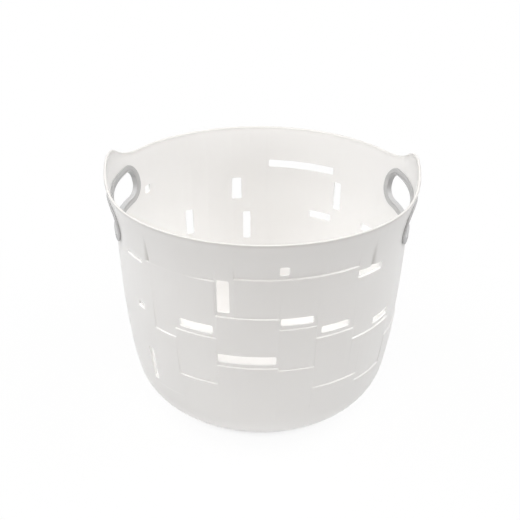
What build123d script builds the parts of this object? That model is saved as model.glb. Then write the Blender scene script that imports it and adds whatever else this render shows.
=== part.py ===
from build123d import *
import os
from itertools import pairwise
from math import asin, atan, ceil, copysign, cos, hypot, pi, radians, sin, sqrt, tan

# Round plastic basket: one moulded tub whose wall is set with stepped panels and vent slots,
# and a grip ring of two halves in the hand hole of each ear.
# Millimetres, +Z up, origin at the middle of the base. The ears stand at +X and -X, the front is -Y.
# A bearing is an angle in degrees round the tub from the front, growing towards +X.

# Tub wall, outside: a rounded bottom corner, a barrelled side from its foot up to the waist, a flare that
# runs straight from the waist to the rim, and ears that curve upright from the flare to their crest
foot_radius = 160.0
foot_height = 52.0
foot_slope = 0.23
waist_radius = 179.0
waist_below_grip = 2.5
rim_radius = 190.0
rim_height = 290.0
crest_radius = 189.5
wall = 3.4

# Base
base_ring_width = 14.0
base_recess = 1.2

# Ears, seen along X
ear_rise = 27.0
ear_half_width = 94.0

# Stepped panels: each leans in, by a share of the wall, down to the ledge where the next one starts,
# and a tall one follows the barrelled side in straight stretches
collar_crease_below_rim = 15.0
collar_ledge_below_rim = 46.5
collar_lean_share = 0.6
panel_lean_share = 0.4
panel_stretch = 60.0
ramp_angle = 1.4

# Vent slots
vent_gap = 5.0
vent_corner = 1.2

# Grip rings
grip_width = 154.0
grip_height = 50.0
grip_corner = 23.0
grip_top_below_rim = 10.5
grip_band = 8.0
outer_flange = 2.2
inner_flange = 1.6
sleeve = 2.0
seat_gap = 0.1
sleeve_gap = 0.2
grip_bevel = 0.8

# Sizes that follow from the ones above
base_radius = foot_radius - foot_height / tan(pi / 4 - atan(foot_slope) / 2)
crest_height = rim_height + ear_rise
crease_height = rim_height - collar_crease_below_rim
collar_ledge = rim_height - collar_ledge_below_rim
grip_centre = rim_height - grip_top_below_rim - grip_height / 2
waist_height = grip_centre - grip_height / 2 - waist_below_grip
flare_slope = (rim_radius - waist_radius) / (rim_height - waist_height)
hole_grow = sleeve + sleeve_gap - grip_band
reach = rim_radius + crest_height
collar_lean = collar_lean_share * wall
panel_lean = panel_lean_share * wall

# Columns of panels, left to right seen from outside: left bearing, right bearing, then the ledges downwards
# as shares of the panelled height, from the foot of the wall (0) to the collar's ledge (1).
# Front and back, the first panel of a column is the collar under the rim.
FRONT_COLUMNS = [
    (-44.0, -33.5, (0.97, 0.52, 0.07)),
    (-33.5, -16.5, (0.97, 0.585, 0.25, 0.0)),
    (-16.5, -9.5, (0.74, 0.393, 0.0)),
    (-9.5, 6.7, (1.0, 0.74, 0.393, 0.0)),
    (6.7, 20.8, (1.0, 0.665, 0.375, 0.05)),
    (20.8, 36.9, (1.0, 0.58, 0.21)),
    (36.9, 42.0, (0.963, 0.5, 0.21)),
]
BACK_COLUMNS = [
    (136.0, 145.4, (1.0, 0.665, 0.3)),
    (145.4, 158.0, (0.922, 0.56, 0.15)),
    (158.0, 178.5, (0.922, 0.66, 0.33, 0.0)),
    (178.5, 189.4, (1.0, 0.355, 0.0)),
    (189.4, 206.0, (1.0, 0.673, 0.25)),
    (206.0, 219.0, (0.95, 0.459, 0.1)),
    (219.0, 224.0, (0.98, 0.6, 0.2)),
]
# Below an ear, the first share is where the smooth ear wall ends.
EAR_COLUMNS = [
    (42.0, 60.0, (0.95, 0.5, 0.15)),
    (60.0, 84.0, (0.9, 0.36, 0.05)),
    (84.0, 106.0, (0.9, 0.52, 0.2)),
    (106.0, 136.0, (0.9, 0.59, 0.3, 0.0)),
    (224.0, 244.0, (0.902, 0.55, 0.15)),
    (244.0, 262.0, (0.9, 0.7, 0.3, 0.0)),
    (262.0, 284.0, (0.9, 0.5, 0.18)),
    (284.0, 298.0, (0.9, 0.05)),
    (298.0, 316.0, (0.95, 0.07)),
]
# Vent slots: bearing of the middle, width, share of the ledge that it stands above, height
VENTS = [
    (8.0, 11.0, 1.0, 11.0),
    (-13.5, 14.5, 0.74, 41.0),
    (-24.5, 42.0, 0.585, 11.0),
    (13.3, 38.0, 0.665, 9.5),
    (28.8, 37.0, 0.58, 9.0),
    (-5.1, 67.0, 0.393, 11.0),
    (43.2, 39.0, 0.892, 9.5),
    (-54.0, 34.0, 0.91, 4.5),
    (-52.3, 14.0, 0.58, 8.0),
    (-49.3, 9.0, 0.07, 46.0),
    (54.0, 34.0, 0.5, 9.5),
    (161.6, 96.0, 0.922, 10.0),
    (192.0, 14.0, 0.673, 32.0),
    (143.3, 12.0, 0.665, 40.0),
    (151.5, 34.0, 0.56, 10.0),
    (216.1, 13.0, 0.459, 36.0),
    (187.3, 11.0, 0.355, 41.0),
    (123.5, 28.0, 0.59, 9.5),
    (240.0, 12.0, 0.902, 10.0),
    (95.0, 42.0, 0.52, 10.0),
    (78.0, 11.0, 0.36, 40.0),
    (273.0, 50.0, 0.5, 10.0),
]


def end_slope(start, end):
    """Slope at the end of an arc that leaves a knot along its slope."""
    chord = (end[0] - start[0]) / (end[1] - start[1])
    return tan(2 * atan(chord) - atan(start[2]))


def wall_line(inset):
    """Knots of the wall's half section, set in square to the outside: radius, height and slope."""
    foot = (foot_radius, foot_height, foot_slope)
    waist = (waist_radius, waist_height, flare_slope)
    rim = (rim_radius, rim_height, flare_slope)
    crest = (crest_radius, crest_height, end_slope(rim, (crest_radius, crest_height)))
    knots = (foot, waist, rim, crest)
    return [(r - inset / hypot(1, s), z + inset * s / hypot(1, s), s) for r, z, s in knots]


def outer_radius(height):
    """Radius of the smooth outside at a height from the foot of the wall up to the rim."""
    if height >= waist_height:
        return waist_radius + flare_slope * (height - waist_height)
    chord = hypot(waist_radius - foot_radius, waist_height - foot_height)
    tilt = atan(foot_slope)
    bend = tilt - asin((waist_radius - foot_radius) / chord)
    barrel = chord / 2 / sin(bend)
    above_middle = height - foot_height - barrel * sin(tilt)
    return foot_radius - barrel * cos(tilt) + copysign(sqrt(barrel**2 - above_middle**2), barrel)


def course(share):
    """Height of a ledge from its share of the panelled height."""
    return foot_height + share * (collar_ledge - foot_height)


def outward(bearing):
    """Unit vector away from the tub's axis along a bearing."""
    return Vector(sin(radians(bearing)), -cos(radians(bearing)), 0)


def turned_body(inset):
    """Solid inside the wall line, set in by an inset and run on past the crest for the rim cut to trim."""
    foot, waist, rim, crest = wall_line(inset)
    with BuildPart() as body:
        with BuildSketch(Plane.XZ):
            with BuildLine():
                Line((0, inset), (base_radius, inset))
                TangentArc((base_radius, inset), foot[:2], tangent=(1, 0))
                TangentArc(foot[:2], waist[:2], tangent=(foot_slope, 1))
                Line(waist[:2], rim[:2])
                TangentArc(rim[:2], crest[:2], tangent=(flare_slope, 1))
                Polyline(
                    crest[:2],
                    (crest[0] + crest[2] * ear_rise, crest[1] + ear_rise),
                    (0, crest[1] + ear_rise),
                    (0, inset),
                )
            make_face()
        revolve(axis=Axis.Z)
    return body.part


def panel_column(left, right, start, ledges, leans):
    """Cutter for one column of panels: a saw-tooth section swung between two bearings."""
    section = Plane(origin=(0, 0, 0), x_dir=outward(left), z_dir=outward(left - 90))
    saw_tooth = [(outer_radius(start), start)]
    for (top, ledge), lean in zip(pairwise([start, *ledges]), leans):
        stretches = ceil((top - ledge) / panel_stretch)
        bends = [top - (top - ledge) * k / stretches for k in range(1, stretches)]
        if ledge < waist_height < top:
            bends.append(waist_height)
        for height in sorted(bends, reverse=True):
            saw_tooth.append((outer_radius(height) - lean * (top - height) / (top - ledge), height))
        saw_tooth += [(outer_radius(ledge) - lean, ledge), (outer_radius(ledge), ledge)]
    with BuildPart() as cutter:
        with BuildSketch(section):
            with BuildLine():
                Polyline(*saw_tooth, (reach, ledges[-1]), (reach, start), close=True)
            make_face()
        revolve(axis=Axis.Z, revolution_arc=right - left)
    return cutter.part


def collar_ramp(bearing, turn, ledge):
    """Cutter for the slanted end of a collar: a triangle from the crease that widens down to the ledge."""
    crease = outward(bearing) * outer_radius(crease_height) + (0, 0, crease_height)
    deep = outward(bearing) * (outer_radius(ledge) - collar_lean) + (0, 0, ledge)
    flush = outward(bearing + turn) * outer_radius(ledge) + (0, 0, ledge)
    slant = Plane(origin=crease, x_dir=deep - crease, z_dir=(deep - crease).cross(flush - crease))
    with BuildPart() as cutter:
        with BuildSketch(slant):
            with BuildLine():
                Polyline((0, 0), slant.to_local_coords(deep), slant.to_local_coords(flush), close=True)
            make_face()
        extrude(amount=ear_rise, dir=outward(bearing))
    return cutter.part


def grip_outline(grow):
    """Outline of a grip ring seen along X, grown all round, on the plane through the tub's axis."""
    with BuildSketch(Plane.YZ) as outline:
        with Locations((0, grip_centre)):
            RectangleRounded(grip_width + 2 * grow, grip_height + 2 * grow, grip_corner + grow)
    return outline.sketch


def turned_faces(part):
    """Faces of a grip half that follow the wall, from the innermost to the outermost."""
    return part.faces().filter_by(GeomType.CONE).sort_by(Axis.X)


# Cutters for the panels and for the slanted ends of the two collars
panel_cutters = []
for columns in (FRONT_COLUMNS, BACK_COLUMNS):
    for left, right, shares in columns:
        leans = [collar_lean] + [panel_lean] * (len(shares) - 1)
        ledges = [course(share) for share in shares]
        panel_cutters.append(panel_column(left, right, crease_height, ledges, leans))
for left, right, shares in EAR_COLUMNS:
    leans = [panel_lean] * (len(shares) - 1)
    ledges = [course(share) for share in shares[1:]]
    panel_cutters.append(panel_column(left, right, course(shares[0]), ledges, leans))
ramp_cutters = []
for columns in (FRONT_COLUMNS, BACK_COLUMNS):
    left, _, left_shares = columns[0]
    _, right, right_shares = columns[-1]
    ramp_cutters.append(collar_ramp(left, -ramp_angle, course(left_shares[0])))
    ramp_cutters.append(collar_ramp(right, ramp_angle, course(right_shares[0])))

# Tub
with BuildPart() as tub:
    add(turned_body(0))
    add(panel_cutters, mode=Mode.SUBTRACT)
    add(ramp_cutters, mode=Mode.SUBTRACT)
    add(turned_body(wall), mode=Mode.SUBTRACT)

    # Everything above the rim and the two ears, seen along X
    with BuildSketch(Plane.YZ):
        with BuildLine():
            for side in (1, -1):
                rim_end = (side * ear_half_width, rim_height)
                shoulder = (side * ear_half_width / 2, rim_height + ear_rise / 2)
                rise = TangentArc(rim_end, shoulder, tangent=(-side, 0))
                TangentArc(shoulder, (0, crest_height), tangent=rise % 1)
                Polyline(rim_end, (side * reach, rim_height), (side * reach, reach))
            Line((reach, reach), (-reach, reach))
        make_face()
    extrude(amount=reach, both=True, mode=Mode.SUBTRACT)

    # Hand holes, with room for the sleeves
    extrude(grip_outline(hole_grow), amount=reach, both=True, mode=Mode.SUBTRACT)

    # Vent slots
    for bearing, width, share, tall in VENTS:
        middle = (0, 0, course(share) + vent_gap + tall / 2)
        with BuildSketch(Plane(origin=middle, x_dir=outward(bearing + 90), z_dir=outward(bearing))) as slot:
            Rectangle(width, tall)
            chamfer(slot.vertices(), vent_corner)
    extrude(amount=reach, mode=Mode.SUBTRACT)

    # Shallow recess that leaves a standing ring under the base
    with BuildSketch(Plane.XY):
        Circle(base_radius - base_ring_width)
    extrude(amount=base_recess, mode=Mode.SUBTRACT)

# Outer half of a grip ring: the flange on the outside of the wall, and the sleeve that lines the hole
with BuildPart() as grip_sleeve:
    extrude(grip_outline(sleeve - grip_band), amount=reach)
    add(turned_body(-seat_gap), mode=Mode.INTERSECT)
    add(turned_body(wall + seat_gap + inner_flange), mode=Mode.SUBTRACT)
with BuildPart() as grip_outer:
    extrude(grip_outline(0), amount=reach)
    add(turned_body(-seat_gap - outer_flange), mode=Mode.INTERSECT)
    add(turned_body(-seat_gap), mode=Mode.SUBTRACT)
    add(grip_sleeve.part)
    extrude(grip_outline(-grip_band), amount=reach, mode=Mode.SUBTRACT)
    chamfer(turned_faces(grip_outer)[-1].edges(), grip_bevel)

# Inner half of a grip ring: the flange on the inside of the wall, pushed over the end of the sleeve
with BuildPart() as grip_inner:
    extrude(grip_outline(0), amount=reach)
    add(turned_body(wall + seat_gap), mode=Mode.INTERSECT)
    add(turned_body(wall + seat_gap + inner_flange), mode=Mode.SUBTRACT)
    extrude(grip_outline(hole_grow), amount=reach, mode=Mode.SUBTRACT)
    chamfer(turned_faces(grip_inner)[0].outer_wire().edges(), grip_bevel)

# Labels and files. The left ring is the same two halves, turned half round into the other ear.
os.makedirs("parts", exist_ok=True)
tub.part.label = "tub"
export_step(tub.part, "parts/tub.step")
for side, turn in (("right", 0), ("left", 180)):
    for half, builder in (("outer", grip_outer), ("inner", grip_inner)):
        piece = builder.part.rotate(Axis.Z, turn)
        piece.label = f"{side}_grip_{half}"
        export_step(piece, f"parts/{piece.label}.step")
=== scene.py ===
# %% [markdown]
# # A round basket in moulded plastic
# The real object is one white tub with stepped panels, vent slots and two ears, and a soft grey ring in
# each hand hole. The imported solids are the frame: every piece below is modelled in that frame, in metres,
# stands for one solid and rides on the same body.

# %% Load the frame
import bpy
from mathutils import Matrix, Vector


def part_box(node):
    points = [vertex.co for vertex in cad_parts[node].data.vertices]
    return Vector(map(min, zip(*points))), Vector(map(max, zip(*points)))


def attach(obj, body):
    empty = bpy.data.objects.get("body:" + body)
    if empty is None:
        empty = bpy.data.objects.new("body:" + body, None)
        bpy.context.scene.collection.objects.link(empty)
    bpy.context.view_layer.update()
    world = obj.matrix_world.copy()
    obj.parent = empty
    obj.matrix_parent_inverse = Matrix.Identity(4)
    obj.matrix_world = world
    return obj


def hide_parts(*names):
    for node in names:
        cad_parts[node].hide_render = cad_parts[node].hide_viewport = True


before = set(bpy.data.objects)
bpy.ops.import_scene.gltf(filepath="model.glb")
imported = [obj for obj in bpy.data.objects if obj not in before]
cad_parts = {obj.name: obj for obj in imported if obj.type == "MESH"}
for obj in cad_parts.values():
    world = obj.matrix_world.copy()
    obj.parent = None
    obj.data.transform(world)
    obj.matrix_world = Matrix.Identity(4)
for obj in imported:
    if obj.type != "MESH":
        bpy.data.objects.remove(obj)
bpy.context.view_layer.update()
print("frame nodes:", sorted(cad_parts))

# %% [markdown]
# ## Choosing by place
# Modelling by hand is mostly selecting something and running a tool on it. Without a window the selecting
# is done by place: numpy reads all the points at once, a test on them gives a mask, and the mask becomes
# the selection. A few small helpers serve every piece.

# %% Helpers for editing
from itertools import pairwise
from math import asin, atan, cos, degrees, hypot, pi, radians, sin, tan

import bpy
import numpy as np

MM = 0.001
MODES = {"vertices": "VERT", "edges": "EDGE", "polygons": "FACE"}


def read(items, field, width, kind=float):
    """A field of all the points, edges or faces of a mesh, one row each."""
    values = np.empty(width * len(items), kind)
    items.foreach_get(field, values)
    return values.reshape(-1, width)


def points_of(piece):
    """Places of all the points of a piece."""
    return read(piece.data.vertices, "co", 3)


def pick(piece):
    """Make a piece the only one that is selected, and the active one."""
    bpy.ops.object.select_all(action="DESELECT")
    piece.select_set(True)
    bpy.context.view_layer.objects.active = piece


def open_whole():
    """Open the active piece for editing with all of it selected."""
    bpy.ops.object.mode_set(mode="EDIT")
    bpy.ops.mesh.select_all(action="SELECT")


def choose(piece, kind, wanted):
    """Open a piece for editing with only the wanted vertices, edges or polygons selected."""
    bpy.ops.object.mode_set(mode="OBJECT")
    for items in (piece.data.vertices, piece.data.edges, piece.data.polygons):
        items.foreach_set("select", np.zeros(len(items), bool))
    getattr(piece.data, kind).foreach_set("select", np.asarray(wanted, bool))
    bpy.ops.object.mode_set(mode="EDIT")
    bpy.ops.mesh.select_mode(type=MODES[kind])


def finish_modifier(piece, name, kind, **settings):
    """Add a modifier with its settings and apply it."""
    modifier = piece.modifiers.new(name, kind)
    for setting, value in settings.items():
        setattr(modifier, setting, value)
    bpy.ops.object.modifier_apply(modifier=name)


# %% [markdown]
# ## The wall's section
# The tub is a turned shape: a flat base, a round corner, a wall that swells a little, a flared rim, and on
# the two ears the same curve carried on upwards. The section is one smooth curve through four knots, each
# with its radius, height and slope, so any height gives a radius. The heights hang from the frame's box.

# %% Wall section
crest_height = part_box("tub")[1][2]
EAR_RISE = 27 * MM
rim_height = crest_height - EAR_RISE
KNOTS = [
    (160 * MM, 52 * MM, 0.23),
    (179 * MM, rim_height - 63 * MM, 0.05),
    (190 * MM, rim_height, 0.3),
    (189.5 * MM, crest_height, -0.2),
]
foot_radius, foot_height, foot_slope = KNOTS[0]
waist_height = KNOTS[1][1]
rim_radius = KNOTS[2][0]
# The bottom corner is one arc, level where it leaves the base and as steep as the wall at its foot.
base_radius = foot_radius - foot_height / tan(pi / 4 - atan(foot_slope) / 2)


def wall_radius(height):
    """Outside radius of the smooth wall at heights from its foot up to the crest of an ear."""
    height = np.asarray(height, float)
    radius = np.full(height.shape, foot_radius)
    for (r0, z0, slope0), (r1, z1, slope1) in pairwise(KNOTS):
        third = (z1 - z0) / 3
        t = (height - z0) / (z1 - z0)
        curve = r0 * (1 - t) ** 3 + 3 * (r0 + slope0 * third) * t * (1 - t) ** 2
        curve += 3 * (r1 - slope1 * third) * t**2 * (1 - t) + r1 * t**3
        radius = np.where((t >= 0) & (t <= 1), curve, radius)
    return radius


print(f"waist radius {wall_radius(waist_height) / MM:.1f} mm, rim at {rim_height / MM:.0f} mm")

# %% [markdown]
# ## The pattern of panels and slots
# The wall looks woven: columns of panels lean in towards their lower edge, and the next panel starts proud
# again at a small ledge. Some panels have a slot just above the ledge. A bearing is an angle in degrees
# round the tub from the front, growing towards +X, and a share is a height between the foot and the
# collar's ledge. The tables repeat what the solids have.

# %% Tables of panels and slots
# Columns of panels: left and right bearing, and the shares of the ledges from the top down.
FRONT_COLUMNS = [
    (-44.0, -33.5, (0.97, 0.52, 0.07)),
    (-33.5, -16.5, (0.97, 0.585, 0.25, 0.0)),
    (-16.5, -9.5, (0.74, 0.393, 0.0)),
    (-9.5, 6.7, (1.0, 0.74, 0.393, 0.0)),
    (6.7, 20.8, (1.0, 0.665, 0.375, 0.05)),
    (20.8, 36.9, (1.0, 0.58, 0.21)),
    (36.9, 42.0, (0.963, 0.5, 0.21)),
]
BACK_COLUMNS = [
    (136.0, 145.4, (1.0, 0.665, 0.3)),
    (145.4, 158.0, (0.922, 0.56, 0.15)),
    (158.0, 178.5, (0.922, 0.66, 0.33, 0.0)),
    (178.5, 189.4, (1.0, 0.355, 0.0)),
    (189.4, 206.0, (1.0, 0.673, 0.25)),
    (206.0, 219.0, (0.95, 0.459, 0.1)),
    (219.0, 224.0, (0.98, 0.6, 0.2)),
]
EAR_COLUMNS = [
    (42.0, 60.0, (0.95, 0.5, 0.15)),
    (60.0, 84.0, (0.9, 0.36, 0.05)),
    (84.0, 106.0, (0.9, 0.52, 0.2)),
    (106.0, 136.0, (0.9, 0.59, 0.3, 0.0)),
    (224.0, 244.0, (0.902, 0.55, 0.15)),
    (244.0, 262.0, (0.9, 0.7, 0.3, 0.0)),
    (262.0, 284.0, (0.9, 0.5, 0.18)),
    (284.0, 298.0, (0.9, 0.05)),
    (298.0, 316.0, (0.95, 0.07)),
]
# Slots: bearing of the middle, width in mm, share of the ledge below, and height in mm.
SLOTS = [
    (8.0, 11.0, 1.0, 11.0), (-13.5, 14.5, 0.74, 41.0), (-24.5, 42.0, 0.585, 11.0),
    (13.3, 38.0, 0.665, 9.5), (28.8, 37.0, 0.58, 9.0), (-5.1, 67.0, 0.393, 11.0),
    (43.2, 39.0, 0.892, 9.5), (-54.0, 34.0, 0.91, 4.5), (-52.3, 14.0, 0.58, 8.0),
    (-49.3, 9.0, 0.07, 46.0), (54.0, 34.0, 0.5, 9.5), (161.6, 96.0, 0.922, 10.0),
    (192.0, 14.0, 0.673, 32.0), (143.3, 12.0, 0.665, 40.0), (151.5, 34.0, 0.56, 10.0),
    (216.1, 13.0, 0.459, 36.0), (187.3, 11.0, 0.355, 41.0), (123.5, 28.0, 0.59, 9.5),
    (240.0, 12.0, 0.902, 10.0), (95.0, 42.0, 0.52, 10.0), (78.0, 11.0, 0.36, 40.0),
    (273.0, 50.0, 0.5, 10.0),
]
print("slots:", len(SLOTS))

# %% [markdown]
# ## Ledges, leans and collars
# The tables become heights. A panel leans in by a share of the wall's thickness: most in the two collars
# under the rim, and hardly at all where the pattern runs out at the foot. A collar has no hard end: the
# wall just beside it tucks under in a slanted ramp, and the collar's own lean dies away towards the ramp.

# %% Columns and collar ends
WALL = 3.4 * MM
COLLAR_CREASE = rim_height - 15 * MM
COLLAR_LEDGE = rim_height - 46.5 * MM
COLLAR_LEAN = 0.6 * WALL
PANEL_LEAN = 0.4 * WALL
FOOT_LEAN = 0.12 * WALL
FOOT_SHARE = 0.12
SLOT_ABOVE_LEDGE = 5 * MM
END_FADE = 8


def course(share):
    """Height of a ledge from its share of the panelled height."""
    return foot_height + share * (COLLAR_LEDGE - foot_height)


def slot_bounds(bearing, width, share, tall):
    """Left and right bearing, and lower and upper edge of a slot."""
    low = course(share) + SLOT_ABOVE_LEDGE
    high = low + tall * MM
    half = degrees(asin(width * MM / 2 / float(wall_radius((low + high) / 2))))
    return bearing - half, bearing + half, low, high


def panel_lean(top, low):
    """How far a panel leans in: most in a collar, and hardly at all where it runs out at the foot."""
    if top == COLLAR_CREASE:
        return COLLAR_LEAN
    return FOOT_LEAN if low < course(FOOT_SHARE) else PANEL_LEAN


# Each column becomes its two bearings and its panels: top, ledge and lean.
COLUMNS = []
for left, right, shares in FRONT_COLUMNS + BACK_COLUMNS + EAR_COLUMNS:
    ledges = [course(share) for share in shares]
    if (left, right, shares) not in EAR_COLUMNS:
        ledges.insert(0, COLLAR_CREASE)
    COLUMNS.append((left, right, [(top, low, panel_lean(top, low)) for top, low in pairwise(ledges)]))

# Collars: columns, degrees from the left and the right end to the ramp, and degrees over which the lean
# dies away at the left end.
COLLARS = [
    (FRONT_COLUMNS, 0.8, 1.7, 28),
    (BACK_COLUMNS, 0.8, 0.8, END_FADE),
]

# Each end of a collar: side, bearing of its ramp, ledge and degrees of dying away.
COLLAR_ENDS = []
for collar, left_shift, right_shift, left_fade in COLLARS:
    (left, _, first), (_, right, last) = collar[0], collar[-1]
    COLLAR_ENDS.append((-1, left - left_shift, course(first[0]), left_fade))
    COLLAR_ENDS.append((1, right + right_shift, course(last[0]), END_FADE))
print("columns:", len(COLUMNS), "panels:", sum(len(panels) for *_, panels in COLUMNS))

# %% [markdown]
# ## A net of lines
# The shell is drawn on a net: rows at the heights and columns at the bearings where something happens.
# A ledge takes three lines, so that smooth shading can round its step, and a slot takes its edges and a
# line where each corner starts to turn. Lines that nearly meet are drawn once, and wide gaps are filled.
# The columns start and end in the right ear, where the section is drawn.

# %% Rows and columns of the net
STEP_LINES = [-0.45 * MM, 0.0, 0.45 * MM]
STEP_REACH = STEP_LINES[-1]
SLOT_CORNER = 1.8 * MM
MEAN_RADIUS = 177 * MM
RAMP_ANGLE = 2.2
RAMP_LINES = (0.15, 0.35, 0.65, 1)
LIP_DROPS = (12, 9, 6.5, 4.2, 2.2, 0)
LEAST_GAP = 0.4 * MM
MOST_RISE = 8 * MM
MOST_TURN = 4.0
NET_START = 90.0


def turn(length):
    """Degrees of bearing that a length along the wall takes."""
    return degrees(length / MEAN_RADIUS)


def net_lines(values, least, most):
    """Sorted lines without near repeats, with wide gaps divided evenly."""
    kept = []
    for value in sorted(values):
        if not kept or value - kept[-1] >= least:
            kept.append(value)
    lines = []
    for start, end in pairwise(kept):
        pieces = int(np.ceil((end - start) / most))
        lines += [start + (end - start) * k / pieces for k in range(pieces)]
    return lines + kept[-1:]


heights = [foot_height, COLLAR_CREASE]
bearings = [NET_START]
for left, _, panels in COLUMNS:
    bearings += [left + turn(step) for step in STEP_LINES]
    for _, low, _ in panels:
        heights += [low + step for step in STEP_LINES]
for slot in SLOTS:
    left, right, low, high = slot_bounds(*slot)
    heights += [low, low + SLOT_CORNER, high - SLOT_CORNER, high]
    bearings += [left, left + turn(SLOT_CORNER), right - turn(SLOT_CORNER), right]
for side, end, *_ in COLLAR_ENDS:
    bearings += [end + side * RAMP_ANGLE * share for share in RAMP_LINES]
rows = net_lines([z for z in heights if foot_height <= z <= COLLAR_CREASE], LEAST_GAP, MOST_RISE)
rows += [rim_height - drop * MM for drop in LIP_DROPS]
bearings = [NET_START + (bearing - NET_START) % 360 for bearing in bearings]
columns = net_lines(bearings + [NET_START + 360], turn(LEAST_GAP), MOST_TURN)
print("rows:", len(rows), "columns:", len(columns))

# %% [markdown]
# ## The outer skin
# The section is drawn as a chain, one vertex extruded from the last, and then swung round the axis column
# by column with Spin, so that the columns can stand at uneven bearings. It is done in sectors, because a
# tool is quicker on a small mesh. The sectors are joined, their doubles are merged, and the normals are
# recalculated because a spin can leave them inside out.

# %% Outer skin
RING_WIDTH = 14 * MM
CORNER_ROWS = 12
SECTORS = 8
MERGE_DISTANCE = 0.02 * MM
ring_edge = base_radius - RING_WIDTH
corner_turn = pi / 2 - atan(foot_slope)
corner_radius = (foot_radius - base_radius) / sin(corner_turn)


def corner_point(share):
    """Point of the round bottom corner, from the base (0) to the foot of the wall (1)."""
    angle = corner_turn * share
    return base_radius + corner_radius * sin(angle), corner_radius * (1 - cos(angle))


section = [(r, 0.0) for r in (0, ring_edge / 3, ring_edge * 2 / 3)]
section += [(ring_edge + step, 0.0) for step in STEP_LINES]
section += [corner_point(k / CORNER_ROWS) for k in range(CORNER_ROWS)]
section += [(float(wall_radius(z)), z) for z in rows]

bpy.ops.object.select_all(action="DESELECT")
bpy.ops.mesh.primitive_plane_add(size=MM)
chain = bpy.context.object
bpy.ops.object.mode_set(mode="EDIT")
bpy.ops.mesh.merge(type="CENTER")
for (r0, z0), (r1, z1) in pairwise(section):
    bpy.ops.mesh.extrude_region_move(TRANSFORM_OT_translate={"value": (r1 - r0, 0, z1 - z0)})
bpy.ops.object.mode_set(mode="OBJECT")

sectors = []
for swung in np.array_split(np.arange(len(columns) - 1), SECTORS):
    pick(chain)
    bpy.ops.object.duplicate()
    sectors.append(bpy.context.object)
    open_whole()
    start = radians(columns[swung[0]] - columns[0])
    bpy.ops.transform.rotate(value=-start, orient_axis="Z", center_override=(0, 0, 0))
    for k in swung:
        angle = radians(columns[k] - columns[k + 1])
        bpy.ops.mesh.spin(steps=1, angle=angle, center=(0, 0, 0), axis=(0, 0, 1))
    bpy.ops.object.mode_set(mode="OBJECT")

bpy.data.objects.remove(chain)
for sector in sectors:
    sector.select_set(True)
bpy.ops.object.join()
tub = bpy.context.object
tub.name = "tub_shell"
open_whole()
bpy.ops.mesh.remove_doubles(threshold=MERGE_DISTANCE)
bpy.ops.mesh.normals_make_consistent(inside=False)
bpy.ops.object.mode_set(mode="OBJECT")
print("skin:", len(tub.data.vertices), "vertices,", len(tub.data.polygons), "faces")

# %% [markdown]
# ## Slots
# A slot is a block of faces of the net, so it is selected by bearing and height and deleted. That leaves
# square corners; the points of the outline next to each corner are slid on to a small arc, because a
# moulded slot has no sharp corner.

# %% Open slots


def face_centres(piece):
    """Places of the middles of all the faces of a piece."""
    return read(piece.data.polygons, "center", 3)


def bearings_of(places):
    """Bearing of each place, in degrees from the front."""
    return np.degrees(np.arctan2(places[:, 0], -places[:, 1]))


def off_bearing(bearing, middle):
    """Difference of bearings, between -180 and 180 degrees."""
    return (bearing - middle + 180) % 360 - 180


def in_slot(places, slot, spare=0.0):
    """Mask of the places inside a slot's outline, with some to spare."""
    left, right, low, high = slot_bounds(*slot)
    across = np.abs(off_bearing(bearings_of(places), (left + right) / 2))
    wide = across < (right - left) / 2 + turn(spare)
    return wide & (places[:, 2] > low - spare) & (places[:, 2] < high + spare)


centres = face_centres(tub)
choose(tub, "polygons", np.any([in_slot(centres, slot) for slot in SLOTS], axis=0))
bpy.ops.mesh.delete(type="FACE")
bpy.ops.object.mode_set(mode="OBJECT")
print("faces left:", len(tub.data.polygons))

# %% Round slot corners
SLOT_SPARE = 0.3 * MM


def round_corners(places, slot):
    """Slide the outline points next to a slot's corners on to arcs, measured from the slot's sides."""
    left, right, _, _ = slot_bounds(*slot)
    outline = np.flatnonzero(in_slot(places, slot, SLOT_SPARE))
    height = places[outline, 2]
    bearing = off_bearing(bearings_of(places[outline]), (left + right) / 2)
    middle_height = (height.min() + height.max()) / 2
    middle_bearing = (bearing.min() + bearing.max()) / 2
    beside = np.radians(bearing - middle_bearing) * MEAN_RADIUS
    above = height - middle_height
    gap_x = beside.max() - np.abs(beside)
    gap_z = above.max() - np.abs(above)
    swing = pi / 4 * (1 - np.clip((gap_x + gap_z) / SLOT_CORNER, 0, 1))
    near, far = SLOT_CORNER * (1 - np.cos(swing)), SLOT_CORNER * (1 - np.sin(swing))
    moved = swing > 0
    on_side = gap_x < gap_z
    gap_x = np.where(moved, np.where(on_side, near, far), gap_x)
    gap_z = np.where(moved, np.where(on_side, far, near), gap_z)
    beside = np.sign(beside) * (beside.max() - gap_x)
    above = np.sign(above) * (above.max() - gap_z)
    angle = np.radians((left + right) / 2 + middle_bearing) + beside / MEAN_RADIUS
    places[outline, 2] = middle_height + above
    radius = wall_radius(places[outline, 2])
    places[outline, 0] = radius * np.sin(angle)
    places[outline, 1] = -radius * np.cos(angle)
    return int(moved.sum())


places = points_of(tub)
rounded = sum(round_corners(places, slot) for slot in SLOTS)
tub.data.vertices.foreach_set("co", places.ravel())
tub.data.update()
print("corner points on arcs:", rounded)

# %% [markdown]
# ## Ears
# Each ear is the rim pulled up in a bell-shaped curve. The rows of the lip are lifted by a Displace
# modifier whose vertex group says how much of the rise each point takes. Two more lay the lifted rows back
# on the wall's own curve, one outwards and one inwards, because a weight can't be less than nothing.

# %% Ears
EAR_HALF_WIDTH = 94 * MM


def weigh(piece, name, amounts):
    """Vertex group whose weight is each point's share of the largest amount, which is returned."""
    largest = amounts.max()
    group = piece.vertex_groups.new(name=name)
    for index in np.flatnonzero(amounts > 0):
        group.add([int(index)], float(amounts[index] / largest), "REPLACE")
    return largest


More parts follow.
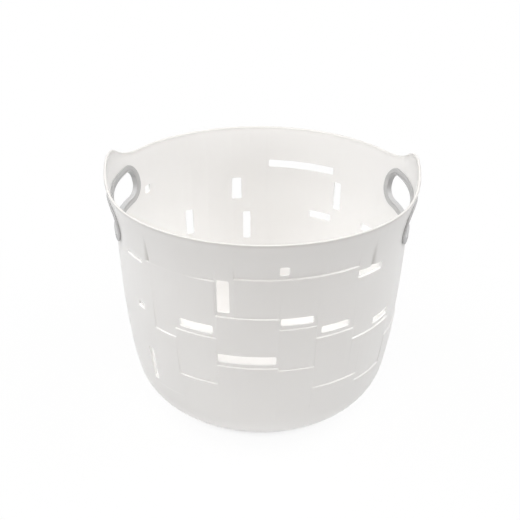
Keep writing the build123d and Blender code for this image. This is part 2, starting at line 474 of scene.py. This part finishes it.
def press(piece, name, strength, direction="NORMAL"):
    """Move the points of a vertex group by a strength times their weight."""
    finish_modifier(piece, name, "DISPLACE", vertex_group=name, strength=strength, mid_level=0.0,
                    direction=direction)


def bell(across):
    """Height of the rim above its low part at a distance across an ear: two arcs that meet half-way."""
    reach = EAR_HALF_WIDTH / 2
    drop = EAR_RISE / 2
    arc = (reach**2 + drop**2) / (2 * drop)
    across = np.clip(np.abs(across), 0, EAR_HALF_WIDTH)
    crown = EAR_RISE - arc + np.sqrt(arc**2 - np.minimum(across, reach) ** 2)
    skirt = arc - np.sqrt(arc**2 - (EAR_HALF_WIDTH - np.maximum(across, reach)) ** 2)
    return np.where(across < reach, crown, skirt)


places = points_of(tub)
share = np.clip((places[:, 2] - COLLAR_CREASE) / (rim_height - COLLAR_CREASE), 0, 1)
lift = share * bell(places[:, 1])
swell = np.where(lift > 0, wall_radius(places[:, 2] + lift) - wall_radius(places[:, 2]), 0)
most_lift = weigh(tub, "ear_lift", lift)
most_out = weigh(tub, "ear_out", np.maximum(swell, 0))
most_in = weigh(tub, "ear_in", np.maximum(-swell, 0))
press(tub, "ear_lift", most_lift, "Z")
press(tub, "ear_out", most_out)
press(tub, "ear_in", -most_in)
print(f"ears rise {most_lift / MM:.1f} mm and swell {most_out / MM:.1f} mm")

# A copy of the smooth skin is kept as the form that the grip rings are laid on.
bpy.ops.object.duplicate()
wall_form = bpy.context.object
wall_form.name = "wall_form"
pick(tub)

# %% [markdown]
# ## Panels
# The depth of the panels is worked out for each point: its column's saw-tooth, faded into the next column
# over a millimetre, and the slanted ramps that close the two collars. It is kept as the weights of a vertex
# group until the inner skin has been taken from the smooth wall.

# %% Depth of the panels
# A panel's lean runs on a little below its ledge, where the step fades it out.
LEAN_OVERRUN = 1.1
# Share of a collar's lean that is left at its ends, and half the share of the fade in which it grows back.
END_LEAN = 0.08
END_TURN = 0.2
# A tuck's depth where its ramp would start, how its slant curves, and the degrees left where it is a point.
TUCK_DEPTH = 0.8 * WALL
TUCK_CURVE = 1.5
LEAST_RAMP = 0.01
BASE_RECESS = 1.2 * MM


def fade(distance, reach):
    """Smooth step from 0 to 1 over a distance of plus or minus a reach."""
    t = np.clip((distance / reach + 1) / 2, 0, 1)
    return t * t * (3 - 2 * t)


def column_depth(height, panels, collar):
    """Depth of a column of leaning panels at each height, with the share of its lean that a collar has."""
    depth = np.zeros_like(height)
    for top, low, lean in panels:
        inside = fade(height - low, STEP_REACH) * fade(top - height, STEP_REACH)
        share = collar if top == COLLAR_CREASE else 1
        depth += inside * share * lean * np.clip((top - height) / (top - low), 0, LEAN_OVERRUN)
    return depth


def ramp_place(side, end, ledge, bearing, height):
    """How far down and how far along a collar's closing ramp a place is, and 1 where the ramp lies."""
    down = np.clip((COLLAR_CREASE - height) / (COLLAR_CREASE - ledge), 0, 1)
    beyond = side * off_bearing(bearing, end)
    slant = np.clip(1 - beyond / np.maximum(RAMP_ANGLE * down, LEAST_RAMP), 0, 1)
    return down, slant, fade(height - ledge, STEP_REACH) * fade(beyond, turn(STEP_REACH))


def panel_depth(places):
    """Depth of the pattern at each place of the outer skin."""
    bearing = bearings_of(places)
    height = places[:, 2]
    depth = np.zeros(len(places))
    collar = np.ones(len(places))
    for side, end, _, reach in COLLAR_ENDS:
        inside = side * off_bearing(end, bearing)
        turned = fade(inside - (1 - END_TURN) * reach, END_TURN * reach)
        dying = END_LEAN + (1 - END_LEAN) * turned
        collar = np.where(np.abs(inside) < reach, np.minimum(collar, dying), collar)
    for left, right, panels in COLUMNS:
        width = fade(off_bearing(bearing, left), turn(STEP_REACH))
        width *= fade(off_bearing(right, bearing), turn(STEP_REACH))
        depth += width * column_depth(height, panels, collar)
    for side, end, ledge, _ in COLLAR_ENDS:
        down, slant, there = ramp_place(side, end, ledge, bearing, height)
        depth = np.maximum(depth, TUCK_DEPTH * down * slant**TUCK_CURVE * there)
    return depth


places = points_of(tub)
depth = np.where(places[:, 2] > foot_height - STEP_REACH, panel_depth(places), 0)
recess = BASE_RECESS * fade(ring_edge - np.hypot(places[:, 0], places[:, 1]), STEP_REACH)
most_depth = weigh(tub, "panels", depth)
most_recess = weigh(tub, "recess", np.where(places[:, 2] < WALL / 2, recess, 0))
print(f"deepest panel {most_depth / MM:.2f} mm")

# %% [markdown]
# ## Inner skin
# The inside of the wall is smooth, so the inner skin is a copy of the skin before its panels are pressed,
# set in by the wall with Shrink/Fatten and turned over. A flared wall set in along its normals ends higher
# inside than outside, so the inner edge is eased back level with the outer one. Then the panels are pressed
# into the outside, and the open edges of the two skins, slot by slot and along the rim, are bridged in
# pairs.

# %% Inner skin
open_whole()
bpy.ops.mesh.select_mode(type="VERT")
bpy.ops.mesh.duplicate()
bpy.ops.transform.shrink_fatten(value=-WALL)
bpy.ops.mesh.flip_normals()
bpy.ops.object.vertex_group_remove_from(use_all_groups=True)
bpy.ops.object.mode_set(mode="OBJECT")
outer, inner = np.split(points_of(tub), 2)
lip_height = rim_height + bell(outer[:, 1])
share = np.clip((outer[:, 2] - COLLAR_CREASE) / (lip_height - COLLAR_CREASE), 0, 1)
higher = np.concatenate([np.zeros(len(outer)), share * (inner[:, 2] - outer[:, 2])])
most_down = weigh(tub, "lip_down", np.maximum(higher, 0))
most_up = weigh(tub, "lip_up", np.maximum(-higher, 0))
press(tub, "lip_down", -most_down, "Z")
press(tub, "lip_up", most_up, "Z")
print(f"lip levelled by {most_down / MM:.2f} mm down and {most_up / MM:.2f} mm up")

# %% Pressed panels
press(tub, "panels", -most_depth)
press(tub, "recess", most_recess, "Z")
tub.vertex_groups.clear()
shell_points = points_of(tub)
print("shell box:", (shell_points.min(0) / MM).round(1), (shell_points.max(0) / MM).round(1))

# %% Bridged edges
bpy.ops.object.mode_set(mode="EDIT")
bpy.ops.mesh.select_mode(type="EDGE")
bpy.ops.mesh.select_all(action="DESELECT")
bpy.ops.mesh.select_non_manifold(
    use_wire=False, use_multi_face=False, use_non_contiguous=False, use_verts=False)
bpy.ops.mesh.bridge_edge_loops(type="PAIRS")
bpy.ops.mesh.select_all(action="DESELECT")
bpy.ops.mesh.select_non_manifold()
bpy.ops.object.mode_set(mode="OBJECT")
print("open edges left:", sum(edge.select for edge in tub.data.edges))

# %% [markdown]
# ## Hand holes and soft edges
# One long block with rounded edges goes through both ears and a Boolean takes it away, which makes the two
# hand holes at once. Then the square edges are softened with Bevel: a generous round along the lip that
# hands touch, and a fine one round the slots and holes.

# %% Hand holes
GRIP_WIDTH = 154 * MM
GRIP_HEIGHT = 50 * MM
GRIP_CORNER = 23 * MM
GRIP_BAND = 8 * MM
GRIP_BELOW_RIM = 10.5 * MM
SLEEVE = 2 * MM
SLEEVE_GAP = 0.2 * MM
HOLE_SEGMENTS = 10
grip_centre = rim_height - GRIP_BELOW_RIM - GRIP_HEIGHT / 2
hole_inset = GRIP_BAND - SLEEVE - SLEEVE_GAP


def edge_ends(piece):
    """Places of the two ends of every edge of a piece."""
    return points_of(piece)[read(piece.data.edges, "vertices", 2, int)]


bpy.ops.object.select_all(action="DESELECT")
bpy.ops.mesh.primitive_cube_add(size=1, location=(0, 0, grip_centre))
block = bpy.context.object
block.scale = (3 * rim_radius, GRIP_WIDTH - 2 * hole_inset, GRIP_HEIGHT - 2 * hole_inset)
bpy.ops.object.transform_apply(location=True, rotation=True, scale=True)
ends = edge_ends(block)
along_x = np.abs(ends[:, 0, 0] - ends[:, 1, 0]) > WALL
choose(block, "edges", along_x)
bpy.ops.mesh.bevel(offset=GRIP_CORNER - hole_inset, segments=HOLE_SEGMENTS)
bpy.ops.object.mode_set(mode="OBJECT")
pick(tub)
finish_modifier(tub, "hand_holes", "BOOLEAN", object=block, operation="DIFFERENCE", solver="EXACT")
bpy.data.objects.remove(block)
print("after the hand holes:", len(tub.data.polygons), "faces")

# %% Soft edges
LIP_ROUND = 1.6 * MM
LIP_SEGMENTS = 4
EDGE_ROUND = 0.35 * MM
EDGE_SEGMENTS = 1
SHARP = radians(60)


def soften(piece, here, radius, segments):
    """Bevel the sharp edges whose middle passes a test on its place."""
    bpy.ops.object.mode_set(mode="EDIT")
    bpy.ops.mesh.select_mode(type="EDGE")
    bpy.ops.mesh.select_all(action="DESELECT")
    bpy.ops.mesh.edges_select_sharp(sharpness=SHARP)
    bpy.ops.object.mode_set(mode="OBJECT")
    sharp = read(piece.data.edges, "select", 1, bool)[:, 0]
    wanted = sharp & here(edge_ends(piece).mean(axis=1))
    choose(piece, "edges", wanted)
    bpy.ops.mesh.bevel(offset=radius, segments=segments, clamp_overlap=True)
    bpy.ops.object.mode_set(mode="OBJECT")
    print(piece.name, "softened edges:", int(wanted.sum()))


def on_lip(middles):
    """Mask of the places along the top of the rim and the ears."""
    return middles[:, 2] > rim_height + bell(middles[:, 1]) - WALL


def off_lip(middles):
    """Mask of the other places."""
    return ~on_lip(middles)


soften(tub, on_lip, LIP_ROUND, LIP_SEGMENTS)
soften(tub, off_lip, EDGE_ROUND, EDGE_SEGMENTS)

# %% [markdown]
# ## Grip rings
# Each hand hole has a soft ring in two halves: a flange on the outside whose sleeve lines the hole, and a
# flange on the inside pushed over the sleeve. A ring starts as a flat plane: its corners are rounded with a
# vertex bevel, insets give the band its rows and the middle is deleted. Shrinkwrap then projects it on to
# the wall, and Solidify gives it its thickness. The right-hand ring is modelled, and the left one is a
# copy.

# %% Ring tools
RING_SEGMENTS = 12
RING_CUTS = 24


def flat_ring(name, x, band):
    """Flat ring across X, its outline rounded and its band divided into rows of the given widths."""
    bpy.ops.object.select_all(action="DESELECT")
    bpy.ops.mesh.primitive_plane_add(size=1, location=(x, 0, grip_centre), rotation=(0, pi / 2, 0))
    ring = bpy.context.object
    ring.name = name
    ring.scale = (GRIP_HEIGHT, GRIP_WIDTH, 1)
    bpy.ops.object.transform_apply(location=True, rotation=True, scale=True)
    open_whole()
    bpy.ops.mesh.select_mode(type="VERT")
    bpy.ops.mesh.bevel(offset=GRIP_CORNER, segments=RING_SEGMENTS, affect="VERTICES")
    bpy.ops.object.mode_set(mode="OBJECT")
    ends = edge_ends(ring)
    long_edges = np.abs(ends[:, 0, 1] - ends[:, 1, 1]) > GRIP_WIDTH / 2
    choose(ring, "edges", long_edges)
    bpy.ops.mesh.subdivide(number_cuts=RING_CUTS)
    bpy.ops.mesh.select_mode(type="FACE")
    bpy.ops.mesh.select_all(action="SELECT")
    for width in band:
        bpy.ops.mesh.inset(thickness=width, use_even_offset=True)
    bpy.ops.mesh.delete(type="FACE")
    bpy.ops.object.mode_set(mode="OBJECT")
    return ring


def lay_on_wall(ring, outwards, gap, thickness):
    """Project a flat ring on to the wall, move it off by a gap along the wall's normal, and thicken it."""
    finish_modifier(ring, "on_wall", "SHRINKWRAP", target=wall_form, wrap_method="PROJECT",
                    use_project_x=True, use_positive_direction=not outwards,
                    use_negative_direction=outwards)
    open_whole()
    bpy.ops.transform.shrink_fatten(value=gap)
    bpy.ops.object.mode_set(mode="OBJECT")
    finish_modifier(ring, "flange", "SOLIDIFY", thickness=thickness, offset=1 if outwards else -1,
                    use_even_offset=True)
    open_whole()
    bpy.ops.mesh.normals_make_consistent(inside=False)
    bpy.ops.object.mode_set(mode="OBJECT")


def inside_outline(places):
    """How far places lie inside a ring's outline, seen along X."""
    beside = np.abs(places[:, 1]) - (GRIP_WIDTH / 2 - GRIP_CORNER)
    above = np.abs(places[:, 2] - grip_centre) - (GRIP_HEIGHT / 2 - GRIP_CORNER)
    corner = np.hypot(np.maximum(beside, 0), np.maximum(above, 0))
    return GRIP_CORNER - corner - np.minimum(np.maximum(beside, above), 0)


def everywhere(middles):
    """Mask of all the places."""
    return np.ones(len(middles), bool)


# %% Right-hand grip
OUTER_FLANGE = 2.2 * MM
INNER_FLANGE = 1.6 * MM
FLANGE_ROW = 2 * MM
SEAT_GAP = 0.1 * MM
GRIP_ROUND = 0.8 * MM
LINING_ROUND = 0.6 * MM
ROUND_SEGMENTS = 3

flange_rows = [FLANGE_ROW, FLANGE_ROW, GRIP_BAND - SLEEVE - 2 * FLANGE_ROW, SLEEVE]
grip_outer = flat_ring("right_grip_flange", 1.5 * rim_radius, flange_rows)
lay_on_wall(grip_outer, True, SEAT_GAP, OUTER_FLANGE)
centres = face_centres(grip_outer)
off_wall = np.hypot(centres[:, 0], centres[:, 1]) - wall_radius(centres[:, 2])
next_to_hole = inside_outline(centres) > GRIP_BAND - SLEEVE
choose(grip_outer, "polygons", next_to_hole & (off_wall < OUTER_FLANGE / 4))
bpy.ops.mesh.extrude_region_shrink_fatten(
    TRANSFORM_OT_shrink_fatten={"value": 2 * SEAT_GAP + WALL + INNER_FLANGE})
bpy.ops.object.mode_set(mode="OBJECT")
soften(grip_outer, everywhere, GRIP_ROUND, ROUND_SEGMENTS)

grip_inner = flat_ring("right_grip_lining", rim_radius / 2, [FLANGE_ROW, hole_inset - FLANGE_ROW])
lay_on_wall(grip_inner, False, -WALL - SEAT_GAP, INNER_FLANGE)
soften(grip_inner, everywhere, LINING_ROUND, ROUND_SEGMENTS)
bpy.data.objects.remove(wall_form)

# %% Left-hand grip


def other_side(piece, name):
    """Copy of a right-hand piece, turned half round into the left ear."""
    pick(piece)
    bpy.ops.object.duplicate()
    copy = bpy.context.object
    copy.name = name
    open_whole()
    bpy.ops.transform.rotate(value=pi, orient_axis="Z", center_override=(0, 0, 0))
    bpy.ops.object.mode_set(mode="OBJECT")
    return copy


grips = {
    "right_grip_outer": grip_outer,
    "right_grip_inner": grip_inner,
    "left_grip_outer": other_side(grip_outer, "left_grip_flange"),
    "left_grip_inner": other_side(grip_inner, "left_grip_lining"),
}
print("grip halves:", list(grips))

# %% [markdown]
# ## Shading of the edges
# Smooth shading spreads a normal over every face, which makes broad flat panels look puffed up. Weighted
# normals let the large faces keep their own direction and leave the turning to the narrow faces of the
# steps and rounds.

# %% Smooth shading
SMOOTH_BELOW = radians(55)
for piece in (tub, *grips.values()):
    pick(piece)
    bpy.ops.object.shade_smooth_by_angle(angle=SMOOTH_BELOW)
    finish_modifier(piece, "even_shading", "WEIGHTED_NORMAL", keep_sharp=True)
    triangles = sum(len(polygon.vertices) - 2 for polygon in piece.data.polygons)
    print(piece.name, triangles, "triangles")

# %% [markdown]
# ## Writing materials as sums
# A material is a net of nodes, and arithmetic on nodes is hard to read as a list of links. The class below
# wraps one socket, so that a plain sum or product in Python adds the Math node. Every other node is added
# by one method, which sets its options first and then its inputs.

# %% Material helpers
NOISE_ROUGHNESS = 0.55
# Sockets of a Mix node that mixes colours, by number because their names repeat.
MIX_SHARE, MIX_FIRST, MIX_SECOND, MIX_COLOUR = 0, 6, 7, 2


class Value:
    """A number that changes over a surface. Arithmetic on it adds Math nodes."""

    def __init__(self, finish, socket):
        self.finish = finish
        self.socket = socket

    def math(self, operation, first, second):
        """Result of a Math node, as a value."""
        return self.finish.node("ShaderNodeMath", {"operation": operation}, {0: first, 1: second})[0]

    def __add__(self, other):
        return self.math("ADD", self, other)

    def __radd__(self, other):
        return self.math("ADD", other, self)

    def __sub__(self, other):
        return self.math("SUBTRACT", self, other)

    def __rsub__(self, other):
        return self.math("SUBTRACT", other, self)

    def __mul__(self, other):
        return self.math("MULTIPLY", self, other)

    def __rmul__(self, other):
        return self.math("MULTIPLY", other, self)


class Outputs:
    """The outputs of a node, by name or number, as values."""

    def __init__(self, finish, node):
        self.finish = finish
        self.node = node

    def __getitem__(self, key):
        return Value(self.finish, self.node.outputs[key])


class Finish:
    """A node tree, with one method that adds any node."""

    def __init__(self, tree):
        self.tree = tree
        self.tree.nodes.clear()

    def node(self, kind, settings, inputs):
        """Add a node with its settings, and set or link its inputs."""
        added = self.tree.nodes.new(kind)
        for setting, value in settings.items():
            setattr(added, setting, value)
        for key, value in inputs.items():
            if isinstance(value, Value):
                self.tree.links.new(value.socket, added.inputs[key])
            else:
                added.inputs[key].default_value = value
        return Outputs(self, added)

    def place(self):
        """Place on the piece, in its Object coordinates."""
        return self.node("ShaderNodeTexCoord", {}, {})["Object"]

    def kept(self, name):
        """Number that is kept on the points of the mesh under a name."""
        return self.node("ShaderNodeAttribute", {"attribute_name": name}, {})["Fac"]

    def noise(self, place, scale, detail):
        """Noise between 0 and 1, with a number of waves to the metre."""
        inputs = {"Vector": place, "Scale": scale, "Detail": detail, "Roughness": NOISE_ROUGHNESS}
        return self.node("ShaderNodeTexNoise", {}, inputs)["Fac"]

    def mix(self, share, first, second):
        """Colour between two colours, each a plain colour or a value."""
        first, second = [end if isinstance(end, Value) else (*end, 1) for end in (first, second)]
        inputs = {MIX_SHARE: share, MIX_FIRST: first, MIX_SECOND: second}
        return self.node("ShaderNodeMix", {"data_type": "RGBA"}, inputs)[MIX_COLOUR]


def new_finish(name):
    """Empty material with its finish."""
    material = bpy.data.materials.new(name)
    material.use_nodes = True
    return material, Finish(material.node_tree)


# %% [markdown]
# ## Painted shade on the lip and in the tucks
# The rounded lip gets a darker white, a painted shade that keeps the up-facing lip from burning out under
# the lamps, and a duller gloss. The narrow tucks at the ends of the collars look darker than their depth
# alone makes them, so a grey painted shade is laid in them. Both are kept as numbers on every point of the
# mesh, from the distance under the lip and the place on the ramp, and the material reads them by their
# names.

# %% Painted shade on the lip and in the tucks
SHADE_AND_WEAR_DEPTH = 5 * MM
places = points_of(tub)
below_lip = rim_height + bell(places[:, 1]) - places[:, 2]
# Painted shade on the lip: full at its top and gone a few millimetres below it. The gloss is duller there
# too.
shade_and_wear = 1 - fade(below_lip - SHADE_AND_WEAR_DEPTH / 2, SHADE_AND_WEAR_DEPTH / 2)

normals = read(tub.data.vertex_normals, "vector", 3)
outside = (normals[:, :2] * places[:, :2]).sum(axis=1) > 0
# Painted shade in the tucks: darkest at the deep, low end of each ramp, and on the outside only.
tuck_shade = np.zeros(len(places))
for side, end, ledge, _ in COLLAR_ENDS:
    down, slant, there = ramp_place(side, end, ledge, bearings_of(places), places[:, 2])
    tuck_shade = np.maximum(tuck_shade, np.sqrt(down) * slant * there * outside)

for name, amounts in {"lip_shade_and_wear": shade_and_wear, "tuck_painted_shade": tuck_shade}.items():
    tub.data.attributes.new(name, "FLOAT", "POINT").data.foreach_set("value", amounts)
    print(name, "on", int((amounts > 0).sum()), "points")

# %% [markdown]
# ## White moulded plastic
# The tub looks like polypropylene: nearly white, a little shiny, and never quite even. Broad noise shifts
# the white by a hair, finer noise changes the gloss in patches as a mould does, and a faint bump gives the
# skin the orange-peel that shows in a low reflection. Part of the light enters the plastic and comes out a
# little further on, which is the subsurface share. It softens the steps between the panels.

# %% Tub plastic
DULL_WHITE = (0.908, 0.902, 0.892)
CLEAN_WHITE = (0.938, 0.932, 0.922)
# Painted shade on the lip: a darker white.
LIP_SHADE_WHITE = (0.74, 0.73, 0.71)
# Painted shade in the tucks: a grey.
TUCK_SHADE_GREY = (0.6, 0.59, 0.57)
PEEL_DEPTH = 0.05 * MM
GLOW_DEPTH = 2 * MM

white_plastic, finish = new_finish("white_plastic")
place = finish.place()
clouds = finish.noise(place, scale=9, detail=2)
patches = finish.noise(place, scale=70, detail=3)
peel = finish.noise(place, scale=420, detail=2)
shaded_worn_lip = finish.kept("lip_shade_and_wear")
colour = finish.mix(clouds, DULL_WHITE, CLEAN_WHITE)
# Painted shade on the lip, broken up by the patches.
colour = finish.mix(shaded_worn_lip * (0.6 + patches * 0.4), colour, LIP_SHADE_WHITE)
# Painted shade in the tucks.
colour = finish.mix(finish.kept("tuck_painted_shade"), colour, TUCK_SHADE_GREY)
relief = peel + patches * 0.6
bump = finish.node("ShaderNodeBump", {}, {"Strength": 0.25, "Distance": PEEL_DEPTH, "Height": relief})
shader = finish.node("ShaderNodeBsdfPrincipled", {}, {
    "Base Color": colour,
    "Roughness": 0.3 + patches * 0.14 + shaded_worn_lip * 0.1,
    "IOR": 1.49,
    "Subsurface Weight": 0.4,
    "Subsurface Radius": (1, 1, 1),
    "Subsurface Scale": GLOW_DEPTH,
    "Normal": bump["Normal"],
})
finish.node("ShaderNodeOutputMaterial", {}, {"Surface": shader["BSDF"]})
print("white plastic:", len(finish.tree.nodes), "nodes")

# %% [markdown]
# ## Grey rubber
# The rings are a soft grey rubber, matt with a fine even grain. The grain is in the bump and a little in
# the gloss, and the grey is slightly cloudy.

# %% Grip rubber
DARK_GREY = (0.5, 0.502, 0.505)
PALE_GREY = (0.56, 0.562, 0.565)
GRAIN_DEPTH = 0.06 * MM

grey_rubber, finish = new_finish("grey_rubber")
place = finish.place()
clouds = finish.noise(place, scale=40, detail=2)
grain = finish.noise(place, scale=1500, detail=2)
colour = finish.mix(clouds, DARK_GREY, PALE_GREY)
bump = finish.node("ShaderNodeBump", {}, {"Strength": 0.3, "Distance": GRAIN_DEPTH, "Height": grain})
shader = finish.node("ShaderNodeBsdfPrincipled", {}, {
    "Base Color": colour,
    "Roughness": 0.48 + grain * 0.12,
    "Normal": bump["Normal"],
})
finish.node("ShaderNodeOutputMaterial", {}, {"Surface": shader["BSDF"]})
print("grey rubber:", len(finish.tree.nodes), "nodes")

# %% [markdown]
# ## Joining the frame
# Every piece rides on the one body and stands for the solid that it covers.

# %% Pieces on the frame
dressed = [(tub, "tub", "shell", white_plastic)]
dressed += [(piece, node, "grip", grey_rubber) for node, piece in grips.items()]
for piece, node, slot_name, material in dressed:
    piece.data.materials.clear()
    piece.data.materials.append(material)
    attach(piece, "root")
    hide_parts(node)
print("dressed:", [piece.name for piece, *_ in dressed])

# %% [markdown]
# ## White floor
# The object stands on a white sheet in a light tent. More light would make the sheet white but would wash
# out the object too, so the floor turns plain white only for rays from the camera, or from a reflection.
# It still keeps the object's shadow: faint around it, and darker close to the base.

# %% Floor
FLOOR_SIZE = 12.0
FLOOR_WHITE = 0.94
SHADOW_REACH = 0.6
SHADOW_SHARE = 0.06
CONTACT_RADIUS = base_radius + 15 * MM
CONTACT_REACH = 18 * MM
CONTACT_SHARE = 0.7
WHITE = (1, 1, 1, 1)


def shows_white(finish):
    """1 for rays that should meet the white background: from the camera, a reflection or through glass."""
    seen = finish.node("ShaderNodeLightPath", {}, {})
    return seen["Is Camera Ray"] + seen["Is Glossy Ray"] + seen["Is Transmission Ray"]


bpy.ops.object.select_all(action="DESELECT")
bpy.ops.mesh.primitive_plane_add(size=FLOOR_SIZE)
floor = bpy.context.object
floor.name = "studio_floor"
floor_paint, finish = new_finish("floor_paint")
distance = finish.node("ShaderNodeVectorMath", {"operation": "LENGTH"}, {0: finish.place()})["Value"]
clamped = {"operation": "DIVIDE", "use_clamp": True}
far = finish.node("ShaderNodeMath", clamped, {0: distance, 1: SHADOW_REACH})[0]
clear = finish.node("ShaderNodeMath", clamped, {0: distance - CONTACT_RADIUS, 1: CONTACT_REACH})[0]
shade = SHADOW_SHARE * (1 - far) + CONTACT_SHARE * (1 - clear) * (1 - clear)
sheet = finish.node("ShaderNodeBsdfDiffuse", {}, {"Color": (FLOOR_WHITE, FLOOR_WHITE, FLOOR_WHITE, 1)})
glow = finish.node("ShaderNodeEmission", {}, {"Color": WHITE, "Strength": 1.0})
blend = finish.node("ShaderNodeMixShader", {}, {
    0: shows_white(finish) * (1 - shade),
    1: sheet["BSDF"],
    2: glow["Emission"],
})
finish.node("ShaderNodeOutputMaterial", {}, {"Surface": blend["Shader"]})
floor.data.materials.append(floor_paint)
print(f"contact shadow out to {(CONTACT_RADIUS + CONTACT_REACH) / MM:.0f} mm from the middle")

# %% [markdown]
# ## Light tent
# The tent's cloth is the world. It gives a little light from every side, which keeps the deepest shade from
# going black, and it is plain white where the camera or a reflection sees it.

# %% World
AMBIENT = 0.02

world = bpy.data.worlds.new("light_tent")
bpy.context.scene.world = world
world.use_nodes = True
finish = Finish(world.node_tree)
tent = finish.node("ShaderNodeBackground", {}, {"Color": WHITE, "Strength": AMBIENT})
white = finish.node("ShaderNodeBackground", {}, {"Color": WHITE, "Strength": 1.0})
blend = finish.node("ShaderNodeMixShader", {}, {
    0: shows_white(finish),
    1: tent["Background"],
    2: white["Background"],
})
finish.node("ShaderNodeOutputWorld", {}, {"Surface": blend["Shader"]})
print("world:", len(finish.tree.nodes), "nodes")

# %% [markdown]
# ## Lamps
# Large square panels give the soft shading of a tent. Two stand high at the sides, a warmer one hangs over
# the front, and a weak one fills the front left. Their power stays low enough for the white plastic to
# keep its shading.

# %% Lamps
PANEL_SIZE = 1.2
NEUTRAL = (1, 1, 1)
WARM = (1, 0.95, 0.91)
# Lamps: place in metres, power in watts and colour.
LAMPS = {
    "left_panel": ((-1.2, 0, 1.7), 21.5, NEUTRAL),
    "right_panel": ((1.2, 0, 1.7), 22, NEUTRAL),
    "front_panel": ((0, -1.1, 1.9), 15.5, WARM),
    "left_fill": ((-1.2, -1.0, 1.1), 2.8, NEUTRAL),
}
aim = np.array((0, 0, rim_height / 2))
for name, (spot, power, colour) in LAMPS.items():
    bpy.ops.object.light_add(type="AREA", location=spot)
    lamp = bpy.context.object
    lamp.name = name
    lamp.data.shape = "SQUARE"
    lamp.data.size = PANEL_SIZE
    lamp.data.energy = power
    lamp.data.color = colour
    x, y, z = np.array(spot) - aim
    # A lamp shines straight down until it is tipped, and then turned, towards its aim.
    lamp.rotation_euler = (np.arctan2(hypot(x, y), z), 0, np.arctan2(y, x) + pi / 2)
print("lamps:", list(LAMPS))

# %% [markdown]
# ## Camera
# The camera stands in front and looks down a little. Its distance, angle and focal length were fitted to
# the ovals of the rim and the base. The lens shift puts the middle of the rim on its pixel, because turning
# the camera instead would change the perspective.

# %% Camera
SENSOR_WIDTH = 36
NEAREST = 0.05
CAMERA_DISTANCE = 1.14
CAMERA_ELEVATION = radians(22.19)
CAMERA_ROLL = radians(0.6)
IMAGE_SIDE = 520
FOCAL_PIXELS = 931.9
RIM_CENTRE_PIXEL = (262.3, 176.6)

back = CAMERA_DISTANCE * cos(CAMERA_ELEVATION)
up = rim_height + CAMERA_DISTANCE * sin(CAMERA_ELEVATION)
bpy.ops.object.camera_add(location=(0, -back, up), rotation=(pi / 2 - CAMERA_ELEVATION, 0, CAMERA_ROLL))
camera = bpy.context.object
# In this order the roll about the line of sight comes first, and then the tilt.
camera.rotation_mode = "ZXY"
camera.data.sensor_width = SENSOR_WIDTH
camera.data.lens = SENSOR_WIDTH * FOCAL_PIXELS / IMAGE_SIDE
camera.data.shift_x = (IMAGE_SIDE / 2 - RIM_CENTRE_PIXEL[0]) / IMAGE_SIDE
camera.data.shift_y = (RIM_CENTRE_PIXEL[1] - IMAGE_SIDE / 2) / IMAGE_SIDE
camera.data.clip_start = NEAREST
bpy.context.scene.camera = camera
bpy.context.scene.view_settings.view_transform = "Standard"
print(f"lens {camera.data.lens:.1f} mm, camera {back:.2f} m in front and {up:.2f} m up")
